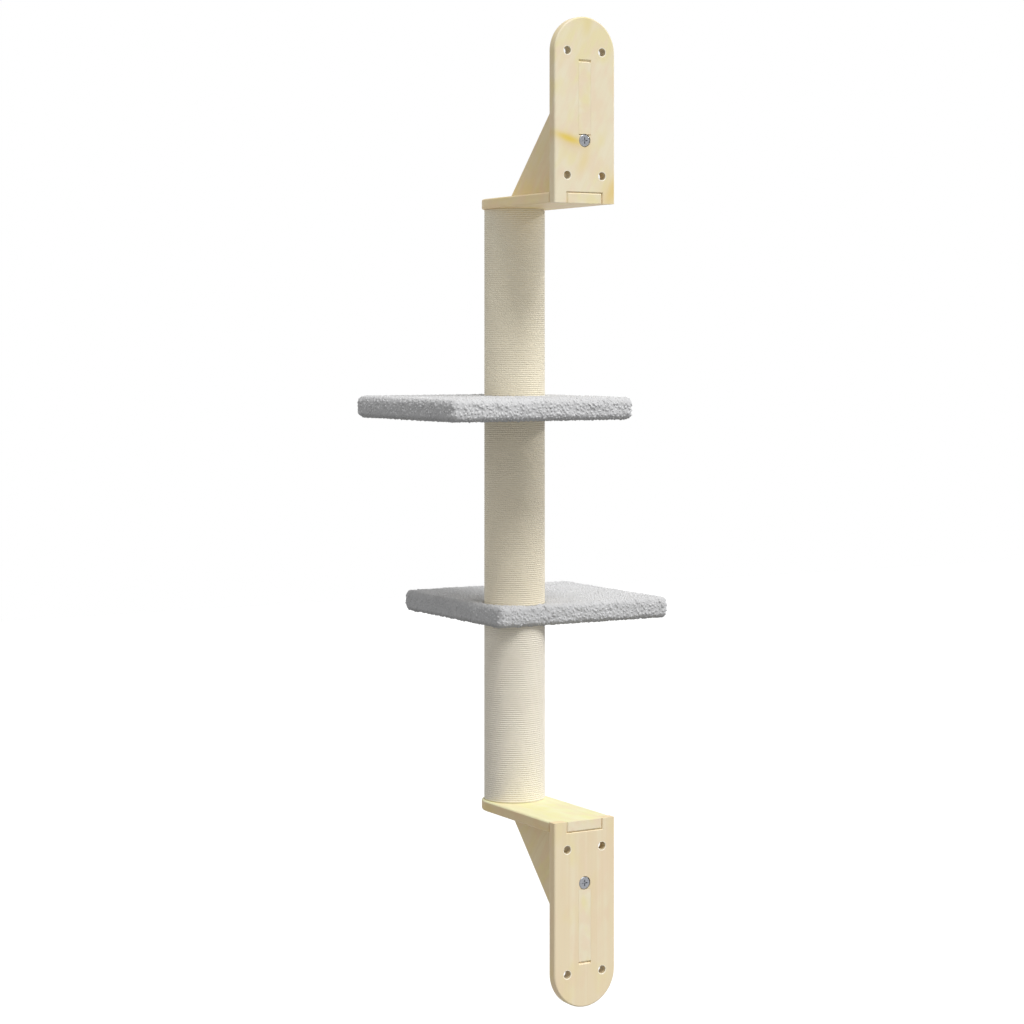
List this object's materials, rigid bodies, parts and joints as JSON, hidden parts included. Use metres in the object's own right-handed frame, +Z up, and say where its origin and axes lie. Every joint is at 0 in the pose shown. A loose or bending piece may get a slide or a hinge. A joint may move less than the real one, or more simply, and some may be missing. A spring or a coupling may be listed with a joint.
{
  "type": "wall mounted cat tree",
  "caption": "Wall mounted cat tree: pine brackets hold a cord-wound scratching post with square plush covered platforms clamped between its sections.",
  "frame": {"origin": "centre of the lower wall plate's four screw holes, in the plane of the wall", "axes": "+Z up along the post, +Y into the wall, so that the object stands out from the wall towards -Y; +X to the right for someone who faces the wall"},
  "size_m": [0.357, 0.349, 1.115],
  "materials": {
    "pine": "pale pine, clear satin lacquer",
    "beech_dowel": "plain beech",
    "chipboard": "raw board",
    "card_tube": "spiral wound card",
    "cord": "thin pale twisted cord",
    "plush": "short curly light grey plush",
    "zinc": "bright zinc plating"
  },
  "bodies": {
    "root": {"brace_bolts": "zinc", "brace_dowels": "beech_dowel", "brace_inserts": "zinc", "lower_arm": "pine", "lower_brace": "pine", "lower_platform_board": "chipboard", "lower_platform_cover": "plush", "lower_post_bottom_plug": "chipboard", "lower_post_cord": "cord", "lower_post_core": "card_tube", "lower_post_top_plug": "chipboard", "lower_wall_plate": "pine", "middle_post_bottom_plug": "chipboard", "middle_post_cord": "cord", "middle_post_core": "card_tube", "middle_post_top_plug": "chipboard", "platform_studs": "zinc", "post_bolts": "zinc", "tee_nuts": "zinc", "upper_arm": "pine", "upper_brace": "pine", "upper_platform_board": "chipboard", "upper_platform_cover": "plush", "upper_post_bottom_plug": "chipboard", "upper_post_cord": "cord", "upper_post_core": "card_tube", "upper_post_top_plug": "chipboard", "upper_wall_plate": "pine"}
  },
  "joints": []
}
